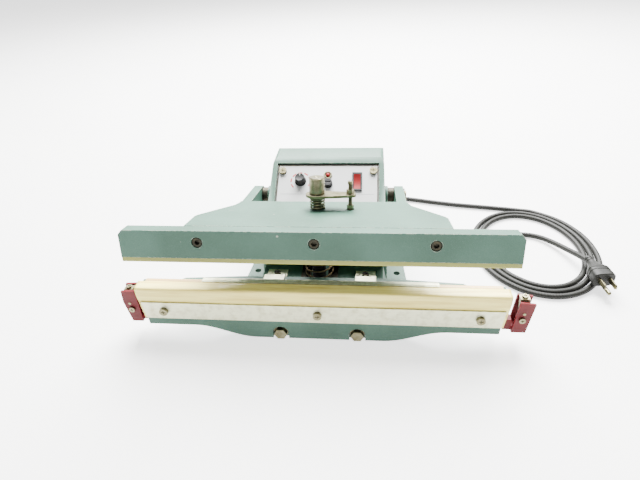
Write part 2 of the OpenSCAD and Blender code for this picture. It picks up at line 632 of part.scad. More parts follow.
// ---- Mains cord ----
exit_pos = [45, back_y, 26];
relief_len = 36;
lie = cord_d / 2 + 0.05;
plug_pos = [338, 8, 19.5];
plug_turn = -86;
loop_mid = [282, 60];
loop_r = [84, 106];
loop_step = 8.8;
loop_from = 70;
loop_turns = 2.6;
loop_points = 36;
lead_in = [[45, back_y + relief_len, 26], [45, back_y + relief_len + 4, 26], [50, 184, 22],
    [62, 197, 15], [81, 203, 8], [104, 203, 4.8], [130, 199, lie], [160, 191, lie], [195, 183, lie],
    [230, 177, lie], [262, 171.5, lie], [290, 166, lie]];
loops = [for (i = [0:loop_points])
    let (f = loop_turns * i / loop_points, a = loop_from - 360 * f, shrink = loop_step * f)
    [loop_mid[0] + (loop_r[0] - shrink) * cos(a), loop_mid[1] + (loop_r[1] - shrink) * sin(a), lie]];
lead_out = [[229, 62, lie], [243, 84, lie], [264, 95, lie], [285, 95, 4], [301, 87, 5], [314, 71, 7],
    [325, 48, 11], [333, 26, 16], plug_pos];
route = concat(lead_in, loops, lead_out);
// Points on a smooth curve through the route, by Catmull-Rom
function smooth(p, i, t) = let (a = p[max(i - 1, 0)], b = p[i], c = p[i + 1], d = p[min(i + 2, len(p) - 1)])
    0.5 * (2 * b + (c - a) * t + (2 * a - 5 * b + 4 * c - d) * t * t + (3 * b - a - 3 * c + d) * t * t * t);
tube_step = 2;
tube = concat([for (i = [0:len(route) - 2]) for (k = [0:tube_step - 1])
    if (k == 0 || norm(route[i + 1] - route[i]) > 26) smooth(route, i, k / tube_step)], [route[len(route) - 1]]);

module strain_relief() color(black) translate(exit_pos) rotate([-90, 0, 0]) {
    translate([0, 0, -8]) cylinder(d = 12.9, h = 8.1, $fn = 48);
    cylinder(d = 17, h = 4, $fn = 48);
    translate([0, 0, 3.9]) cylinder(d1 = 12, d2 = cord_d + 1.5, h = relief_len - 3.9, $fn = 48);
}

module power_cord() color([0.25, 0.25, 0.24]) sweep(tube, cord_d / 2, 8);

module at_plug() translate(plug_pos) rotate([0, 0, plug_turn]) rotate([0, 90, 0]) children();
module plug_body() color([0.25, 0.25, 0.24]) at_plug() {
    cylinder(d1 = cord_d + 1.5, d2 = 14, h = 12, $fn = 32);
    hull() {
        translate([0, 0, 10]) cylinder(d = 14, h = 1, $fn = 32);
        for (s = [-1, 1]) translate([s * 3, s * 6.5, 18]) cylinder(r = 7, h = 18, $fn = 32);
        for (s = [-1, 1]) translate([-s * 3, s * 6.5, 18]) cylinder(r = 7, h = 18, $fn = 32);
    }
}

module plug_blades() color(steel) at_plug() translate([0, 0, 36]) {
    for (s = [-1, 1]) translate([-1 - 2.8, s * 6.35 - 0.75, 0]) cube([6.4, 1.5, 17]);
    translate([7, 0, 0]) cylinder(d = 4.8, h = 19, $fn = 32);
}

base_casting();
rear_housing();
housing_screws();
control_panel();
panel_screws();
timer_potentiometer();
timer_knob();
indicator_lamp();
fuse_holder();
fuse_cap();
switch_bezel();
switch_rocker();
transformer_core();
transformer_coil();
transformer_bolts();
circuit_board();
board_posts();
power_relay();
cloth_clamp_strip();
clamp_strip_screws();
ptfe_cloth();
insulation_tape();
heating_element();
cloth_roll();
roll_axle();
roll_brackets();
roll_guard();
guard_screws();
terminal_block_left();
terminal_block_right();
terminal_screws();
terminal_pins();
tension_lever_left();
tension_lever_right();
front_bolts();
spring_seat();
return_spring();
hinge_pins();
shaft_rings();
pivot_spacers();
upper_casting();
pivot_bushes();
upper_jaw_bar();
jaw_bar_screws();
silicone_strip();
timer_microswitch();
microswitch_screws();
switch_plunger();
pull_rod();
rod_sleeve();
contact_arm();
rod_nut();
pressure_spring();
contact_screw();
contact_lock_nut();
strain_relief();
power_cord();
plug_body();
plug_blades();
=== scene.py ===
import bmesh
import bpy
import json
import math
from mathutils import Matrix, Vector, noise


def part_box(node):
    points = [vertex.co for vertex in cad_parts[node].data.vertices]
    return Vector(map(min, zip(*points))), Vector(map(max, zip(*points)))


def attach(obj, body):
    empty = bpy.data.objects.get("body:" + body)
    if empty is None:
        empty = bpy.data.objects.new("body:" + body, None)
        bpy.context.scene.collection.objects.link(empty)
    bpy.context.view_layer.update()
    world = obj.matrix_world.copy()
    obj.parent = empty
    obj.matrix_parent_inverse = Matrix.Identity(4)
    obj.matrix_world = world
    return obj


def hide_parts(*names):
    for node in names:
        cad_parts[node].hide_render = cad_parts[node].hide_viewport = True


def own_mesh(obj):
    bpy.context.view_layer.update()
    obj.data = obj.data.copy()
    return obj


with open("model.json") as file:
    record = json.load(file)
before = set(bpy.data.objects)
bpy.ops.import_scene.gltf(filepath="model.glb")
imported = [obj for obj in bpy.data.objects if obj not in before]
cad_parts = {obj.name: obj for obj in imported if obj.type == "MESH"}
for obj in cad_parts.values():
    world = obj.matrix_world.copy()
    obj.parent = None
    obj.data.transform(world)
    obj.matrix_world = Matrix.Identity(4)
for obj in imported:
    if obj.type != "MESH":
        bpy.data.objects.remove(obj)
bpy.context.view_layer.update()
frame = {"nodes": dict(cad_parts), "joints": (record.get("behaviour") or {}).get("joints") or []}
joints = {joint["name"]: joint for joint in frame["joints"]}
mm = 0.001
sensorWide = 36  # of the camera, in mm

# --- camera, light and floor ---
print("camera and light")
cameraSet = {"place": (0.0537, -0.5160, 0.3987), "yaw": -6.78, "pitch": 33.57, "roll": -2.97, "lens": 27.1,
             "near": 0.01}


def makeCamera(look):
    yaw, pitch, roll = (math.radians(look[key]) for key in ("yaw", "pitch", "roll"))
    forward = Vector((math.sin(yaw) * math.cos(pitch), math.cos(yaw) * math.cos(pitch), -math.sin(pitch)))
    level = Vector((math.cos(yaw), -math.sin(yaw), 0))
    upright = level.cross(forward)
    right = level * math.cos(roll) + upright * math.sin(roll)
    up = upright * math.cos(roll) - level * math.sin(roll)
    data = bpy.data.cameras.new("camera")
    data.lens = look["lens"]
    data.sensor_width = sensorWide
    data.clip_start = look["near"]
    camera = bpy.data.objects.new("camera", data)
    bpy.context.scene.collection.objects.link(camera)
    turn = Matrix((right, up, -forward)).transposed()
    camera.matrix_world = Matrix.Translation(look["place"]) @ turn.to_4x4()
    bpy.context.scene.camera = camera


makeCamera(cameraSet)

lights = {
    "overhead": {"place": (0.1, 1.05, 1.55), "aim": (0.05, 0.1, 0.0), "size": 1.7, "power": 520},
    "front": {"place": (-0.25, -1.0, 1.35), "aim": (0.0, -0.1, 0.05), "size": 0.9, "power": 10},
    "side": {"place": (1.6, -0.6, 1.0), "aim": (0.0, 0.0, 0.05), "size": 1.2, "power": 2},
}
for name, look in lights.items():
    data = bpy.data.lights.new(name, "AREA")
    data.energy, data.size = look["power"], look["size"]
    lamp = bpy.data.objects.new(name, data)
    bpy.context.scene.collection.objects.link(lamp)
    lamp.location = look["place"]
    lamp.rotation_euler = (Vector(look["aim"]) - lamp.location).to_track_quat("-Z", "Y").to_euler()

worldSet = {"colour": (0.97, 0.99, 1.0, 1), "strength": 0.26}
world = bpy.data.worlds.new("studio")
world.use_nodes = True
sky = world.node_tree.nodes["Background"]
sky.inputs["Color"].default_value = worldSet["colour"]
sky.inputs["Strength"].default_value = worldSet["strength"]
bpy.context.scene.world = world


# --- shader maths ---
class Wire:
    # a socket of a finish, so that sums can be written out
    def __init__(self, finish, socket):
        self.finish = finish
        self.socket = socket

    def sum(self, operation, a, b):
        return self.finish.node("Math", {"operation": operation}, {0: a, 1: b})

    def __add__(self, other):
        return self.sum("ADD", self, other)

    def __radd__(self, other):
        return self.sum("ADD", other, self)

    def __sub__(self, other):
        return self.sum("SUBTRACT", self, other)

    def __rsub__(self, other):
        return self.sum("SUBTRACT", other, self)

    def __mul__(self, other):
        return self.sum("MULTIPLY", self, other)

    def __rmul__(self, other):
        return self.sum("MULTIPLY", other, self)


socketNames = {"colour": "Base Color", "rough": "Roughness", "metal": "Metallic", "coat": "Coat Weight",
               "normal": "Normal", "ior": "IOR", "glow": "Emission Color", "glowPower": "Emission Strength"}


class Finish:
    # one material; node() adds any node by its type, its settings and its sockets
    def __init__(self, name):
        self.material = bpy.data.materials.new(name)
        self.material.use_nodes = True
        self.tree = self.material.node_tree
        self.shader = self.tree.nodes["Principled BSDF"]
        self.place = self.node("TexCoord", output="Object")

    def node(self, kind, settings=None, inputs=None, output=0):
        made = self.tree.nodes.new("ShaderNode" + kind)
        for key, value in (settings or {}).items():
            setattr(made, key, value)
        for key, value in (inputs or {}).items():
            self.plug(made.inputs[key], value)
        return Wire(self, made.outputs[output])

    def plug(self, socket, value):
        if isinstance(value, Wire):
            self.tree.links.new(value.socket, socket)
        elif hasattr(value, "__len__") and len(value) == 3 and socket.type == "RGBA":
            socket.default_value = (*value, 1)
        else:
            socket.default_value = value

    def put(self, **sockets):
        for key, value in sockets.items():
            self.plug(self.shader.inputs[socketNames[key]], value)
        return self.material

    def noise(self, scale, detail=3, stretch=(1, 1, 1), shift=0.0):
        at = self.node("Mapping", None, {"Vector": self.place, "Scale": stretch, "Location": (shift,) * 3})
        inputs = {"Vector": at, "Scale": scale, "Detail": detail, "Roughness": 0.55}
        return self.node("TexNoise", None, inputs)

    def waves(self, direction, inputs):
        return self.node("TexWave", {"bands_direction": direction, "wave_profile": "SIN"}, inputs)

    def step(self, value, low, high, bottom=0.0, top=1.0):
        return self.node("MapRange", None, {"Value": value, "From Min": low, "From Max": high,
                                            "To Min": bottom, "To Max": top})

    def most(self, a, b):
        return self.node("Math", {"operation": "MAXIMUM"}, {0: a, 1: b})

    def mix(self, share, a, b):
        return self.node("Mix", {"data_type": "RGBA"}, {"Factor": share, 6: a, 7: b}, output=2)

    def bump(self, height, depth, strength=1.0):
        return self.node("Bump", None, {"Height": height, "Distance": depth, "Strength": strength})

    def edges(self, radius):
        # 0 on flats, up to 1 on a sharp outer edge
        soft = self.node("Bevel", {"samples": 4}, {"Radius": radius})
        flat = self.node("NewGeometry", output="Normal")
        facing = self.node("VectorMath", {"operation": "DOT_PRODUCT"}, {0: soft, 1: flat}, output="Value")
        return self.step(1 - facing, 0.004, 0.09)

    def hollows(self, reach):
        # 0 in the open, up to 1 in recesses and corners; it masks the painted shade there
        clear = self.node("AmbientOcclusion", {"samples": 6}, {"Distance": reach}, output="AO")
        return self.step(clear, 0.75, 0.2)


print("finishes")
finishes = {}
softShine = 1.3  # index of refraction of old paint, cloth and vinyl
# the near-black colour here, with its reach, is painted shade for the enamel's recesses
enamelSet = {"light": (0.056, 0.122, 0.088), "dark": (0.041, 0.092, 0.064), "pale": (0.114, 0.186, 0.150),
             "deep": (0.027, 0.057, 0.043), "chip": (0.276, 0.312, 0.252), "recessShade": (0.012, 0.018, 0.0144),
             "grain": 1500, "cast": 160, "rough": 0.42, "edge": 1.4 * mm, "recessShadeReach": 3 * mm}


def enamel(look):
    f = Finish("sage_enamel")
    cloud = f.noise(14, 2)
    speckle = f.noise(look["grain"], 2)
    cast = f.noise(look["cast"], 4)
    colour = f.mix(f.step(cloud, 0.35, 0.65), look["light"], look["dark"])
    colour = f.mix(f.step(speckle, 0.52, 0.75, 0, 0.35), colour, look["pale"])
    colour = f.mix(f.step(speckle, 0.42, 0.25, 0, 0.4), colour, look["deep"])
    worn = f.step(f.noise(260, 4, shift=0.3) + f.edges(look["edge"]) * 0.42, 0.86, 0.93)
    nick = f.step(f.noise(95, 2, shift=1.7), 0.765, 0.78)
    scratch = f.step(f.noise(34, 3, (1, 9, 9), shift=2.2), 0.735, 0.75, 0, 0.6)
    bare = f.most(f.most(worn, nick), scratch)
    colour = f.mix(bare, colour, look["chip"])
    # painted shade: recesses and corners are darkened towards a near-black green
    colour = f.mix(f.hollows(look["recessShadeReach"]) * 0.85, colour, look["recessShade"])
    rough = look["rough"] + cast * 0.12 + bare * 0.2
    height = speckle * 0.35 + cast * 1.6 - bare * 0.6
    return f.put(colour=colour, rough=rough, normal=f.bump(height, 0.12 * mm, 0.8), ior=softShine)


# colour of the painted shade in the metals' recesses
hollowShade = (0.0180, 0.0156, 0.0108)
dustTint = (0.330, 0.330, 0.312)


def metal(name, colour, stain, rough, brushed=(1, 1, 1), grain=900):
    f = Finish(name)
    lines = f.noise(grain, 3, brushed)
    blotch = f.noise(120, 4, shift=0.9)
    tint = f.mix(f.step(blotch, 0.45, 0.72), colour, stain)
    tint = f.mix(f.step(lines, 0.4, 0.7, 0, 0.25), tint, [c * 0.72 for c in colour])
    tint = f.mix(f.edges(0.5 * mm) * 0.4, tint, [min(1, c * 1.25) for c in colour])
    # painted shade: the metal darkens in its recesses and corners
    tint = f.mix(f.hollows(1.5 * mm), tint, hollowShade)
    return f.put(colour=tint, metal=1.0, rough=rough + blotch * 0.16 + lines * 0.1,
                 normal=f.bump(lines, 0.03 * mm, 0.7))


def plastic(name, colour, rough=0.4, grain=1400, depth=0.02, dust=0.06):
    f = Finish(name)
    fine = f.noise(grain, 2)
    cloud = f.noise(60, 3)
    tint = f.mix(f.step(cloud, 0.35, 0.75, 0, 0.5), colour, [c * 0.8 for c in colour])
    tint = f.mix(f.step(f.noise(300, 4, shift=0.4), 0.6, 0.8, 0, dust * 3), tint, dustTint)
    tint = f.mix(f.edges(0.6 * mm) * 0.22, tint, [c * 0.7 + 0.1 for c in colour])
    normal = f.bump(fine, depth * mm)
    return f.put(colour=tint, rough=rough + fine * 0.12, normal=normal, ior=1.34)


threadPitch = 0.55 * mm


def coatedCloth(name, colour, dark):
    f = Finish(name)
    threads = {"Vector": f.place, "Scale": 1 / threadPitch / 6.28, "Distortion": 0.6, "Detail": 1.0}
    weave = f.waves("X", threads) * 0.5 + f.waves("Z", threads) * 0.5
    streak = f.noise(220, 3, (0.06, 1, 1))
    patch = f.noise(22, 3, (0.5, 1, 1), shift=0.7)
    tint = f.mix(f.step(streak, 0.42, 0.66), colour, dark)
    tint = f.mix(f.step(weave, 0.2, 0.9, 0.16, 0), tint, dark)
    tint = f.mix(f.step(patch, 0.5, 0.8, 0, 0.4), tint, [c * 0.84 for c in colour])
    height = weave * 0.4 + streak * 2.2
    return f.put(colour=tint, rough=0.42 + streak * 0.16, normal=f.bump(height, 0.07 * mm), coat=0.1)


def vinyl():
    f = Finish("cord_vinyl")
    along = f.node("UVMap", {"uv_map": "along"})
    ribs = f.waves("X", {"Vector": along, "Scale": 95.0, "Distortion": 0.3})
    cloud = f.noise(80, 3)
    tint = f.mix(f.step(cloud, 0.35, 0.7), (0.0054, 0.0057, 0.0045), (0.0096, 0.0099, 0.0078))
    tint = f.mix(f.step(f.noise(420, 3, shift=0.5), 0.62, 0.8, 0, 0.3), tint, (0.0240, 0.0240, 0.0198))
    tint = f.mix(ribs * 0.14, tint, (0.0270, 0.0270, 0.0240))
    return f.put(colour=tint, rough=0.48 + cloud * 0.12, normal=f.bump(ribs, 0.14 * mm, 0.6),
                 ior=softShine)


def silicone():
    f = Finish("silicone_rubber")
    cloud = f.noise(45, 3, (0.4, 1, 1))
    mark = f.noise(300, 4, (0.3, 1, 1), shift=0.8)
    tint = f.mix(f.step(cloud, 0.35, 0.7), (0.228, 0.231, 0.042), (0.186, 0.186, 0.033))
    tint = f.mix(f.step(mark, 0.6, 0.75, 0, 0.5), tint, (0.252, 0.228, 0.120))
    return f.put(colour=tint, rough=0.5 + mark * 0.12, normal=f.bump(mark, 0.05 * mm))


def blockRed():
    f = Finish("block_red")
    grain = f.noise(900, 3)
    cloud = f.noise(70, 4, shift=0.2)
    tint = f.mix(f.step(cloud, 0.35, 0.7), (0.105, 0.0040, 0.0060), (0.070, 0.0030, 0.0045))
    tint = f.mix(f.step(grain, 0.55, 0.8, 0, 0.45), tint, (0.135, 0.0120, 0.0140))
    # painted highlight: the edges are made a brighter red, as where light catches them
    tint = f.mix(f.edges(0.9 * mm) * 0.6, tint, (0.300, 0.0036, 0.0096))
    return f.put(colour=tint, rough=0.5 + grain * 0.1, normal=f.bump(grain, 0.05 * mm), ior=softShine)


def whitePanel():
    f = Finish("panel_white")
    grain = f.noise(700, 3)
    smear = f.noise(26, 4, shift=0.6)
    tint = f.mix(f.step(smear, 0.45, 0.75, 0, 0.35), (0.432, 0.438, 0.432), (0.372, 0.378, 0.360))
    speck = f.step(f.noise(520, 1, shift=1.1), 0.78, 0.8, 0, 0.5)
    tint = f.mix(speck, tint, (0.270, 0.264, 0.240))
    return f.put(colour=tint, rough=0.34 + smear * 0.12, normal=f.bump(grain, 0.015 * mm))


finishes["enamel"] = enamel(enamelSet)
finishes["steel"] = metal("worn_steel", (0.216, 0.201, 0.120), (0.090, 0.075, 0.033), 0.24)
finishes["dark"] = metal("dark_steel", (0.030, 0.0288, 0.0216), (0.060, 0.051, 0.033), 0.38)
finishes["chrome"] = metal("turned_steel", (0.252, 0.237, 0.150), (0.120, 0.102, 0.051), 0.2)
finishes["aluminium"] = metal("brushed_aluminium", (0.66, 0.67, 0.49), (0.50, 0.49, 0.33), 0.46,
                              (0.04, 1, 1), 1500)
finishes["wire"] = metal("spring_wire", (0.120, 0.090, 0.051), (0.180, 0.144, 0.084), 0.32)
finishes["bronze"] = metal("bronze", (0.372, 0.270, 0.120), (0.240, 0.180, 0.090), 0.35)
finishes["iron"] = metal("core_iron", (0.132, 0.132, 0.132), (0.180, 0.120, 0.072), 0.5, (1, 1, 0.02), 1200)
finishes["ribbon"] = metal("element_ribbon", (0.360, 0.342, 0.300), (0.270, 0.240, 0.180), 0.35,
                           (0.05, 1, 1))
finishes["black"] = plastic("black_plastic", (0.0036, 0.0036, 0.0036), 0.42, dust=0.02)
finishes["rubber"] = plastic("black_rubber", (0.0048, 0.0048, 0.0048), 0.6, depth=0.05)
finishes["nylon"] = plastic("nylon", (0.432, 0.420, 0.360), 0.45)
finishes["red"] = plastic("switch_red", (0.216, 0.0006, 0.0012), 0.5, dust=0.0)
finishes["coil"] = plastic("coil_tape", (0.372, 0.282, 0.120), 0.5)
finishes["laminate"] = plastic("board_green", (0.0180, 0.120, 0.048), 0.35)
finishes["blue"] = plastic("relay_blue", (0.0180, 0.060, 0.252), 0.4)
finishes["markRed"] = plastic("print_red", (0.360, 0.0090, 0.0120), 0.5, dust=0.0)
finishes["markGrey"] = plastic("print_grey", (0.180, 0.192, 0.198), 0.5, dust=0.0)
finishes["cloth"] = coatedCloth("coated_cloth", (0.86, 0.75, 0.22), (0.62, 0.48, 0.10))
finishes["roll"] = coatedCloth("rolled_cloth", (0.62, 0.43, 0.17), (0.45, 0.29, 0.10))
finishes["vinyl"] = vinyl()
finishes["silicone"] = silicone()
finishes["blockRed"] = blockRed()
finishes["panel"] = whitePanel()


def floorFinish():
    f = Finish("floor_paper")
    grain = f.noise(300, 3)
    tint = f.mix(f.step(f.noise(3, 2), 0.3, 0.7), (0.60, 0.60, 0.59), (0.58, 0.58, 0.57))
    return f.put(colour=tint, rough=0.6 + grain * 0.1, glow=(1, 1, 1), glowPower=2.0)


floorSet = {"reach": 9.0, "drop": 0.0002}
floorMesh = bpy.data.meshes.new("floor")
floorMesh.from_pydata([(x * floorSet["reach"], y * floorSet["reach"], 0)
                       for x, y in ((-1, -1), (1, -1), (1, 1), (-1, 1))], [], [(0, 1, 2, 3)])
floor = bpy.data.objects.new("floor", floorMesh)
bpy.context.scene.collection.objects.link(floor)
floor.location.z = -floorSet["drop"]
floorMesh.materials.append(floorFinish())


# --- making meshes ---
def newPiece(name, build, finish, body, replaces=(), smooth=40):
    mesh = bpy.data.meshes.new(name)
    bm = bmesh.new()
    build(bm)
    bmesh.ops.recalc_face_normals(bm, faces=bm.faces)
    bm.to_mesh(mesh)
    bm.free()
    mesh.shade_smooth()
    mesh.set_sharp_from_angle(angle=math.radians(smooth))
    piece = bpy.data.objects.new(name, mesh)
    bpy.context.scene.collection.objects.link(piece)
    mesh.materials.append(finishes[finish])
    if replaces:
        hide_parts(*replaces)
    if body:
        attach(piece, body)
    return piece


def addRing(bm, points):
    return [bm.verts.new(point) for point in points]


def join(bm, first, second):
    count = len(first)
    for i in range(count):
        bm.faces.new((first[i], first[(i + 1) % count], second[(i + 1) % count], second[i]))


def loft(bm, sections):
    # skins closed outlines in their order, and caps both ends
    rings = [addRing(bm, points) for points in sections]
    for first, second in zip(rings, rings[1:]):
        join(bm, first, second)
    bm.faces.new(rings[0])
    bm.faces.new(rings[-1])


def spokes(sides):
    angles = [2 * math.pi * k / sides for k in range(sides)]
    return [(math.cos(a), math.sin(a)) for a in angles]


def turned(bm, profile, place, sides=48):
    # profile is radius and height pairs in mm; place stands it on its axis
    loft(bm, [[place @ Vector((radius * c * mm, radius * s * mm, height * mm)) for c, s in spokes(sides)]
              for radius, height in profile])


def tube(bm, points, radius, sides=12, uvName=None):
    # a round tube that keeps its twist low; uvName gives it a map of its length
    layer = bm.loops.layers.uv.new(uvName) if uvName else None
    around = spokes(sides)
    rings, lengths, length, side = [], [], 0.0, None
    for i, point in enumerate(points):
        ahead = (points[min(i + 1, len(points) - 1)] - points[max(i - 1, 0)]).normalized()
        if side is None:
            side = ahead.cross(Vector((0, 0, 1)))
            side = side.normalized() if side.length > 0.1 else Vector((1, 0, 0))
        side = (side - ahead * side.dot(ahead)).normalized()
        up = ahead.cross(side)
        if i:
            length += (point - points[i - 1]).length
        rings.append(addRing(bm, [point + (side * c + up * s) * radius for c, s in around]))
        lengths.append(length)
    for i in range(len(rings) - 1):
        for k in range(sides):
            face = bm.faces.new((rings[i][k], rings[i][(k + 1) % sides],
                                 rings[i + 1][(k + 1) % sides], rings[i + 1][k]))
            if layer:
                for loop, (u, v) in zip(face.loops, ((i, k), (i, k + 1), (i + 1, k + 1), (i + 1, k))):
                    loop[layer].uv = (lengths[u], v / sides * 0.02)
    bm.faces.new(rings[0])
    bm.faces.new(rings[-1])


def smoothLine(points, steps):
    # Catmull-Rom through the points
    line = []
    for i in range(len(points) - 1):
        a, b, c, d = (points[max(i - 1, 0)], points[i], points[i + 1], points[min(i + 2, len(points) - 1)])
        for k in range(steps):
            t = k / steps
            line.append(0.5 * (2 * b + (c - a) * t + (2 * a - 5 * b + 4 * c - d) * t * t
                               + (3 * b - a - 3 * c + d) * t * t * t))
    return line + [points[-1]]


# --- mains cord ---
print("mains cord")
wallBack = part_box("rear_housing")[1].y
cordSet = {"thick": 7.5 * mm, "length": 1.93, "exit": (0.045, wallBack, 0.026), "relief": 36 * mm,
           "loopMiddle": (0.282, 0.060), "loopReach": (0.084, 0.106), "loopStep": 0.0088, "loopFrom": 70,
           "loopTurns": 2.6, "loopPoints": 36, "plug": (0.338, 0.008, 0.0195), "plugTurn": -86,
           "smooth": 7}


def cordRoute(look):
    lie = look["thick"] / 2 + 0.05 * mm
    x, y, z = look["exit"]
    end = y + look["relief"]
    points = [(x, y, z), (x, end, z), (x, end + 0.004, z), (0.050, 0.184, 0.022), (0.062, 0.197, 0.015),
              (0.081, 0.203, 0.008), (0.104, 0.203, 0.0048), (0.130, 0.199, lie), (0.160, 0.191, lie),
              (0.195, 0.183, lie), (0.230, 0.177, lie), (0.262, 0.1715, lie), (0.290, 0.166, lie)]
    for i in range(look["loopPoints"] + 1):
        turns = look["loopTurns"] * i / look["loopPoints"]
        angle = math.radians(look["loopFrom"] - 360 * turns)
        wide, deep = (reach - look["loopStep"] * turns for reach in look["loopReach"])
        points.append((look["loopMiddle"][0] + wide * math.cos(angle),
                       look["loopMiddle"][1] + deep * math.sin(angle), lie))
    points += [(0.229, 0.062, lie), (0.243, 0.084, lie), (0.264, 0.095, lie), (0.285, 0.095, 0.004),
               (0.301, 0.087, 0.005), (0.314, 0.071, 0.007), (0.325, 0.048, 0.011), (0.333, 0.026, 0.016),
               look["plug"]]
    return [Vector(point) for point in points]


cordLine = smoothLine(cordRoute(cordSet), cordSet["smooth"])
cordPiece = newPiece("mains_cord", lambda bm: tube(bm, cordLine, cordSet["thick"] / 2, 14, "along"),
                     "vinyl", "base", ["power_cord"], smooth=60)


# radius and height pairs of its ends, and the ribs between them
bootSet = {"collar": [(6.2, -7.5), (6.2, -0.2), (8.3, -0.1), (8.5, 0.6), (8.5, 3.2), (7.8, 3.9), (6.1, 4.1)],
           "mouth": [(4.5, 35.2), (4.3, 36), (3.75, 36)], "ribs": 8, "start": 5.0, "end": 34.0, "wide": 6.1,
           "taper": 1.35}


def strainRelief(bm):
    place = Matrix.Translation(cordSet["exit"]) @ Matrix.Rotation(math.radians(-90), 4, "X")
    profile = list(bootSet["collar"])
    ribs, start, end = (bootSet[key] for key in ("ribs", "start", "end"))
    for k in range(ribs):
        low = start + (end - start) * k / ribs
        high = low + (end - start) / ribs * 0.62
        wide = bootSet["wide"] - bootSet["taper"] * k / ribs
        profile += [(wide - 0.55, low), (wide, low + 0.4), (wide, high), (wide - 0.55, high + 0.4)]
    profile += bootSet["mouth"]
    turned(bm, profile, place)


newPiece("strain_boot", strainRelief, "rubber", "base", ["strain_relief"])

plugFrame = (Matrix.Translation(cordSet["plug"]) @ Matrix.Rotation(math.radians(cordSet["plugTurn"]), 4, "Z")
             @ Matrix.Rotation(math.radians(90), 4, "Y"))
# height along the plug, half sizes across, roundness
plugSet = {"shells": [(-9, 4.1, 4.1, 2), (-8.6, 4.9, 4.9, 2), (-6.2, 4.9, 4.9, 2), (-5.9, 4.3, 4.3, 2),
                      (-4.6, 4.3, 4.3, 2), (-4.3, 5.1, 5.1, 2), (-2, 5.1, 5.1, 2), (-1.7, 4.5, 4.5, 2),
                      (-0.4, 4.5, 4.5, 2), (-0.1, 5.4, 5.4, 2), (2.4, 5.6, 5.8, 2), (6, 6.2, 6.9, 2.2),
                      (10, 7.2, 8.6, 2.5), (14, 8.4, 11, 2.9), (17, 9.2, 12.5, 3.2), (19, 9.5, 13, 3.4),
                      (19.6, 9.1, 12.6, 3.4), (21.6, 9.1, 12.6, 3.4), (22.2, 9.6, 13.1, 3.4),
                      (23.8, 9.6, 13.1, 3.4), (24.4, 9.1, 12.6, 3.4), (26.4, 9.1, 12.6, 3.4),
                      (27, 9.7, 13.2, 3.4), (33.4, 9.8, 13.3, 3.6), (35.4, 9.6, 13.1, 3.6),
                      (35.9, 9.0, 12.5, 3.6)],
           "bladeGap": 12.7, "blade": (6.35, 1.5, 17.0), "bladeShift": -0.6, "tip": (1.6, 2.0),
           "pin": (2.4, 19.0, 7.0), "face": 35.8}


def plugBody(bm):
    sections = []
    for height, deep, wide, power in plugSet["shells"]:
        section = []
        for c, s in spokes(48):
            fit = (abs(c) ** power + abs(s) ** power) ** (-1 / power)
            section.append(plugFrame @ Vector((deep * c * fit * mm, wide * s * fit * mm, height * mm)))
        sections.append(section)
    loft(bm, sections)


def plugBlades(bm):
    wide, thick, reach = plugSet["blade"]
    inset, slope = plugSet["tip"]
    face, shift = plugSet["face"], plugSet["bladeShift"]
    outline = [(-wide / 2, 0), (wide / 2, 0), (wide / 2, reach - slope), (wide / 2 - inset, reach),
               (-wide / 2 + inset, reach), (-wide / 2, reach - slope)]
    for side in (-1, 1):
        y = side * plugSet["bladeGap"] / 2
        loft(bm, [[plugFrame @ Vector(((u + shift) * mm, (y + t) * mm, (face + v) * mm)) for u, v in outline]
                  for t in (-thick / 2, thick / 2)])
    radius, reach, drop = plugSet["pin"]
    profile = [(radius, 0), (radius, reach - radius)]
    profile += [(radius * math.cos(a), reach - radius + radius * math.sin(a)) for a in (0.4, 0.8, 1.2, 1.45)]
    turned(bm, profile, plugFrame @ Matrix.Translation((drop * mm, 0, face * mm)), 24)


plugPiece = newPiece("mains_plug", plugBody, "vinyl", "base", ["plug_body"], smooth=35)
bladePiece = newPiece("plug_pins", plugBlades, "steel", "base", ["plug_blades"], smooth=35)

# --- places on the raised jaw and on the sloping panel ---
hinge = joints["jaw_hinge"]
pivot = Vector(hinge["pos_m"])
raised = (Matrix.Translation(pivot) @ Matrix.Rotation(math.radians(-hinge["range_deg"][1]), 4, "X")
          @ Matrix.Translation(-pivot))
sleeveLow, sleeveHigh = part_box("rod_sleeve")
rodX = (sleeveLow.x + sleeveHigh.x) / 2
rodY = pivot.y - 96.6 * mm  # on the raised jaw
plateTop = 105.1
onRod = raised @ Matrix.Translation((rodX, rodY, 0))

panelOut = Vector(joints["timer_turn"]["axis"])
slopeUp = panelOut.cross(Vector((1, 0, 0)))
knobAt = {"x": -35.4, "y": -29.5}
panelFace = -2.5  # height of the panel's face, from the knob's joint
panelTurn = Matrix((Vector((1, 0, 0)), slopeUp, panelOut)).transposed().to_4x4()
panelFrame = (Matrix.Translation(joints["timer_turn"]["pos_m"]) @ panelTurn
              @ Matrix.Translation((-knobAt["x"] * mm, -knobAt["y"] * mm, 0)))


def onPanel(x, y, height=0.0):
    # x is from the middle of the panel and y from its top, in mm
    return panelFrame @ Matrix.Translation((x * mm, y * mm, height * mm))


# --- springs ---
print("springs")
# rest is the turns that lie flat at each end, and keep the share of its height left at the joint's limit
returnSet = {"turns": 9, "radius": 16.2, "wire": 1.1, "rest": 0.85, "keep": 0.77}
pressureSet = {"turns": 4.2, "radius": 7.8, "wire": 1.0, "height": 14.6, "rest": 0.8, "keep": 0.76}


def coil(place, look, height, lean=0.0):
    steps, line = 40, []
    total = int(look["turns"] * steps)
    for i in range(total + 1):
        share = i / total
        turn = look["turns"] * share
        flat = look["rest"]
        climb = min(max((turn - flat) / (look["turns"] - 2 * flat), 0), 1)
        squeeze = 2.1 * look["wire"] / height
        rise = squeeze * min(turn, flat) / flat + (1 - 2 * squeeze) * climb
        rise += squeeze * max(0, turn - look["turns"] + flat) / flat
        a = 2 * math.pi * turn
        line.append(place @ Vector((look["radius"] * math.cos(a) * mm,
                                    (look["radius"] * math.sin(a) + lean * rise) * mm,
                                    (look["wire"] + (height - 2 * look["wire"]) * rise) * mm)))
    return line


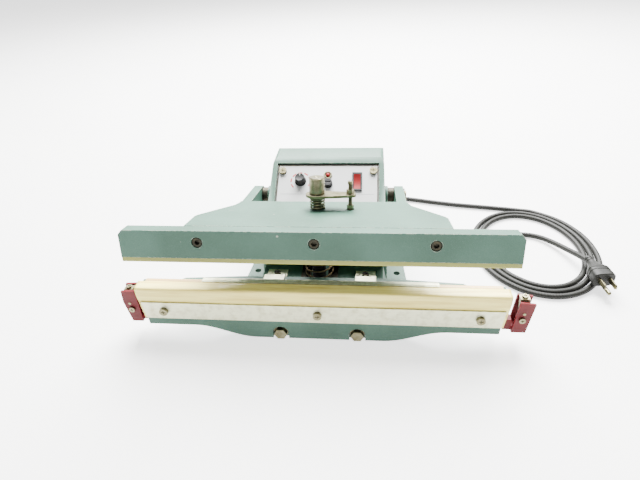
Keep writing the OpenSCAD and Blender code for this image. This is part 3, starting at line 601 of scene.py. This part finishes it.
low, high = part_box("return_spring")
reachOut = returnSet["radius"] + returnSet["wire"]
returnPlace = Matrix.Translation((rodX, low.y + reachOut * mm, low.z))
returnLine = coil(returnPlace, returnSet, (high.z - low.z) / mm, (high.y - low.y) / mm - 2 * reachOut)
returnCoil = newPiece("return_coil", lambda bm: tube(bm, returnLine, returnSet["wire"] * mm, 12),
                      "wire", "base", ["return_spring"], smooth=60)
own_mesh(returnCoil)

pressurePlace = onRod @ Matrix.Translation((0, 0, plateTop * mm))
pressureLine = coil(pressurePlace, pressureSet, pressureSet["height"])
pressureCoil = newPiece("pressure_coil", lambda bm: tube(bm, pressureLine, pressureSet["wire"] * mm, 12),
                        "chrome", "upper_jaw", ["pressure_spring"], smooth=60)
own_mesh(pressureCoil)

# --- turned nut and threads on the rod ---
print("rod parts")
nutSet = {"radius": 8.8, "low": 123.0, "height": 19.0, "pitch": 1.15, "depth": 0.32, "plainTop": 3.4}


def turnedNut(bm):
    r, h = nutSet["radius"], nutSet["height"]
    profile = [(r - 0.9, 0), (r - 0.2, 0.5)]
    z = 1.0
    pitch, groove = nutSet["pitch"], r - nutSet["depth"]
    while z < h - nutSet["plainTop"]:
        profile += [(r, z), (r, z + pitch * 0.5), (groove, z + pitch * 0.66), (groove, z + pitch * 0.86)]
        z += pitch
    profile += [(r, z), (r, h - 0.7), (r - 0.7, h), (r - 1.6, h - 0.05), (2.2, h - 0.35), (1.6, h - 0.9)]
    turned(bm, profile, onRod @ Matrix.Translation((0, 0, nutSet["low"] * mm)), 64)


newPiece("knurled_nut", turnedNut, "chrome", "pull_rod", ["rod_nut"], smooth=30)

threadSet = {"x": 33.7, "radius": 2.0, "pitch": 0.7, "crest": 0.28, "runs": ((110.2, 119.4), (128.2, 133.2))}


def threadProfile(low, high, look):
    profile, z = [], low
    while z < high:
        profile += [(look["radius"], z), (look["radius"] + look["crest"], z + look["pitch"] * 0.5)]
        z += look["pitch"]
    return profile + [(look["radius"], z)]


def contactThread(bm):
    place = raised @ Matrix.Translation((threadSet["x"] * mm, rodY, 0))
    for low, high in threadSet["runs"]:
        turned(bm, threadProfile(low, high, threadSet), place, 20)


newPiece("contact_thread", contactThread, "steel", "pull_rod", smooth=20)

# --- controls ---
print("controls")
# levels are radius, height and share of the flutes' depth
knobSet = {"flutes": 22, "depth": 0.35, "lift": 0.3,
           "levels": [(7.0, 0, 0), (7.5, 0.3, 0), (7.5, 1.4, 0), (7.1, 2.0, 0), (6.5, 2.3, 0.5),
                      (6.35, 3.2, 1), (6.2, 10.9, 1), (5.9, 11.4, 0.6), (5.2, 11.7, 0), (4.6, 11.5, 0),
                      (1.0, 11.35, 0)],
           "pointer": (0.8, 3.4, 0.5), "pointerAt": (3.9, 9.35)}


def timerKnob(bm):
    place = onPanel(knobAt["x"], knobAt["y"], panelFace + knobSet["lift"])
    sides = knobSet["flutes"] * 4
    sections = []
    for radius, height, cut in knobSet["levels"]:
        section = []
        for k, (c, s) in enumerate(spokes(sides)):
            r = radius - cut * knobSet["depth"] * (1 + math.cos(math.pi * k / 2))
            section.append(place @ Vector((r * c * mm, r * s * mm, height * mm)))
        sections.append(section)
    loft(bm, sections)


def slab(bm, place, size):
    wide, deep, tall = (value * mm / 2 for value in size)
    corners = ((-1, -1), (1, -1), (1, 1), (-1, 1))
    loft(bm, [[place @ Vector((x * wide, y * deep, z * tall)) for x, y in corners] for z in (-1, 1)])


def knobPointer(bm):
    ahead, height = knobSet["pointerAt"]
    slab(bm, onPanel(knobAt["x"], knobAt["y"] + ahead, height), knobSet["pointer"])


newPiece("fluted_knob", timerKnob, "black", "timer_knob", ["timer_knob"], smooth=35)
newPiece("knob_pointer", knobPointer, "nylon", "timer_knob")

dialSet = {"dashes": 7, "inner": 11.8, "outer": 13.6, "from": -135, "sweep": 270, "filled": 0.68, "steps": 6,
           "lift": 0.04, "sunk": -0.1, "proud": 0.03}


def dialMarks(bm):
    place = onPanel(knobAt["x"], knobAt["y"], panelFace + dialSet["lift"])
    inner, outer, sunk, proud = (dialSet[key] for key in ("inner", "outer", "sunk", "proud"))
    corners = [(inner, sunk), (outer, sunk), (outer, proud), (inner, proud)]
    step = dialSet["sweep"] / dialSet["dashes"]
    for dash in range(dialSet["dashes"]):
        start = 90 - dialSet["from"] - step * dash
        angles = [math.radians(start - step * dialSet["filled"] * k / dialSet["steps"])
                  for k in range(dialSet["steps"] + 1)]
        loft(bm, [[place @ Vector((r * math.cos(a) * mm, r * math.sin(a) * mm, h * mm)) for r, h in corners]
                  for a in angles])


newPiece("dial_marks", dialMarks, "markRed", "base")

lineSet = {"y": -48.4, "lift": 0.03, "size": (122, 0.5, 0.1)}


def panelLine(bm):
    slab(bm, onPanel(0, lineSet["y"], panelFace + lineSet["lift"]), lineSet["size"])


newPiece("panel_line", panelLine, "markGrey", "base")

gapShadeSet = {"half": 66.6, "top": -4.4, "bottom": -65.5, "wide": 1.5, "tall": 0.5, "lift": 0.2}


def panelGapShade(bm):
    # dark strip along the top and the sides of the panel: painted shade standing in for the shadow in the
    # gap round the panel
    half, wide, tall = gapShadeSet["half"], gapShadeSet["wide"], gapShadeSet["tall"]
    height = panelFace + gapShadeSet["lift"]
    slab(bm, onPanel(0, gapShadeSet["top"] - wide / 2, height), (2 * half, wide, tall))
    run = gapShadeSet["top"] - wide - gapShadeSet["bottom"]
    for side in (-1, 1):
        slab(bm, onPanel(side * (half - wide / 2), gapShadeSet["bottom"] + run / 2, height), (wide, run, tall))


# painted shade: a dark strip put in the panel's gap where only shadow falls
newPiece("panel_gap_shade", panelGapShade, "dark", "base")

# radius and height pairs of its two turned parts
lampSet = {"at": (0.5, -20.5),
           "rim": [(3.9, -16), (3.9, -2.6), (5.5, -2.5), (5.5, -1.1), (5.1, -0.6), (4.3, -0.6), (4.0, -0.9),
                   (4.0, -1.9), (0.4, -1.9)],
           "lens": [(2.7, -2.0), (2.7, -1.0), (2.4, -0.2), (1.8, 0.4), (1.0, 0.75), (0.2, 0.85)]}


def lampRim(bm):
    turned(bm, lampSet["rim"], onPanel(*lampSet["at"]))


def lampLens(bm):
    turned(bm, lampSet["lens"], onPanel(*lampSet["at"]), 32)


newPiece("lamp_rim", lampRim, "chrome", "base", ["indicator_lamp"], smooth=30)
newPiece("lamp_lens", lampLens, "red", "base")

# --- cloth over the lower jaw ---
print("cloth")
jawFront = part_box("base_casting")[0].y / mm
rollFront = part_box("cloth_roll")[0].y / mm
# half widths, gaps and heights are in mm, and flat is the cut size in metres
clothSet = {"half": 203.0, "lowHalf": 199.5, "thick": 0.25, "flat": (0.406, 0.065), "top": 68.15,
            "columns": 160, "frontGap": 0.42, "topGap": 0.27, "backGap": 0.6, "hem": 26, "flare": 34,
            "end": 59.5}


def clothLine(look):
    # the cloth's section, from the clamp strip up over the jaw and down to the roll
    top, front, back = look["top"], jawFront - look["frontGap"], rollFront - look["backGap"]
    line = [(front, 26.2), (front, 30), (front, 36), (front, 42), (front - 0.1, 48), (front - 0.12, 52),
            (front - 0.15, 56), (front - 0.18, 60), (front - 0.2, 63), (front - 0.1, 65.4)]
    line += [(front + 1.9 - 1.95 * math.cos(a), top - 1.7 + 1.95 * math.sin(a))
             for a in (0.3, 0.7, 1.1, 1.45)]
    line += [(front + ahead, top + look["topGap"]) for ahead in (4, 7, 10)]
    line += [(back - 1.7 + 1.7 * math.sin(a), top - 1.4 + 1.67 * math.cos(a)) for a in (0.0, 0.5, 1.0, 1.4)]
    return line + [(back, top - 3), (back, top - 6), (back, look["end"])]


def jawCloth(bm):
    count, grid = clothSet["columns"], []
    widen = clothSet["half"] - clothSet["lowHalf"]
    for y, z in clothLine(clothSet):
        half = clothSet["lowHalf"] + widen * min(1, (z - clothSet["hem"]) / clothSet["flare"])
        row = []
        for i in range(count + 1):
            x = -half + 2 * half * i / count
            wave = noise.noise(Vector((x * 0.012, y * 0.3, z * 0.45)))
            fine = noise.noise(Vector((x * 0.05, y * 0.6 + 9, z * 0.8)))
            puff = (0.14 * wave + 0.07 * fine) * (1 if 52 < z < 66 else 0.3)
            lift = 0.08 * wave if z > 67 else 0
            row.append(bm.verts.new((x * mm, (y - max(puff, -0.1)) * mm, (z + lift) * mm)))
        grid.append(row)
    for first, second in zip(grid, grid[1:]):
        for i in range(count):
            bm.faces.new((first[i], first[i + 1], second[i + 1], second[i]))


cloth = newPiece("jaw_cloth", jawCloth, "cloth", None, ["ptfe_cloth"], smooth=50)
shell = cloth.modifiers.new("thickness", "SOLIDIFY")
shell.thickness = clothSet["thick"] * mm
shell.offset = 1
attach(cloth, "base")

# --- the carried-over parts: finish, and how far their edges are rounded in mm ---
print("finishes on the parts")
partLooks = {
    "enamel": {"base_casting": 0.9, "rear_housing": 0.9, "upper_casting": 1.0, "upper_jaw_bar": 1.0,
               "roll_brackets": 0.5},
    "steel": {"housing_screws": 0, "panel_screws": 0, "transformer_bolts": 0, "clamp_strip_screws": 0,
              "roll_axle": 0, "terminal_screws": 0, "terminal_pins": 0, "tension_lever_left": 0.25,
              "tension_lever_right": 0.25, "hinge_pins": 0.4, "microswitch_screws": 0, "switch_plunger": 0.2,
              "pull_rod": 0, "contact_arm": 0.3, "contact_screw": 0.2, "contact_lock_nut": 0.25,
              "front_bolts": 0.35},
    "dark": {"guard_screws": 0, "shaft_rings": 0.2, "timer_potentiometer": 0, "jaw_bar_screws": 0.2,
             "spring_seat": 0.2, "pivot_spacers": 0.3},
    "aluminium": {"cloth_clamp_strip": 0.25, "roll_guard": 0},
    "panel": {"control_panel": 0.2},
    "black": {"fuse_holder": 0.2, "fuse_cap": 0.3, "switch_bezel": 0.3, "timer_microswitch": 0.3},
    "red": {"switch_rocker": 0.3},
    "blockRed": {"terminal_block_left": 0.4, "terminal_block_right": 0.4},
    "nylon": {"board_posts": 0},
    "iron": {"transformer_core": 0.4},
    "coil": {"transformer_coil": 0.8},
    "laminate": {"circuit_board": 0},
    "blue": {"power_relay": 0.3},
    "cloth": {"insulation_tape": 0},
    "roll": {"cloth_roll": 0},
    "silicone": {"silicone_strip": 0.3},
    "bronze": {"pivot_bushes": 0.2},
    "ribbon": {"heating_element": 0},
    "rubber": {"rod_sleeve": 0.4},
}


roundSet = {"weld": 0.005 * mm, "flat": 0.4, "sharp": 32, "segments": 2}


def roundEdges(part, width):
    part.data.shade_smooth()
    if "custom_normal" in part.data.attributes:
        part.data.attributes.remove(part.data.attributes["custom_normal"])
    weld = part.modifiers.new("weld", "WELD")
    weld.merge_threshold = roundSet["weld"]
    flat = part.modifiers.new("flats", "DECIMATE")
    flat.decimate_type = "DISSOLVE"
    flat.angle_limit = math.radians(roundSet["flat"])
    edge = part.modifiers.new("edges", "BEVEL")
    edge.width = width * mm
    edge.segments = roundSet["segments"]
    edge.limit_method = "ANGLE"
    edge.angle_limit = math.radians(roundSet["sharp"])
    edge.use_clamp_overlap = True
    shade = part.modifiers.new("shade", "WEIGHTED_NORMAL")
    shade.keep_sharp = True


for finish, parts in partLooks.items():
    for node, width in parts.items():
        part = frame["nodes"][node]
        part.data.materials.clear()
        part.data.materials.append(finishes[finish])
        if width:
            roundEdges(part, width)
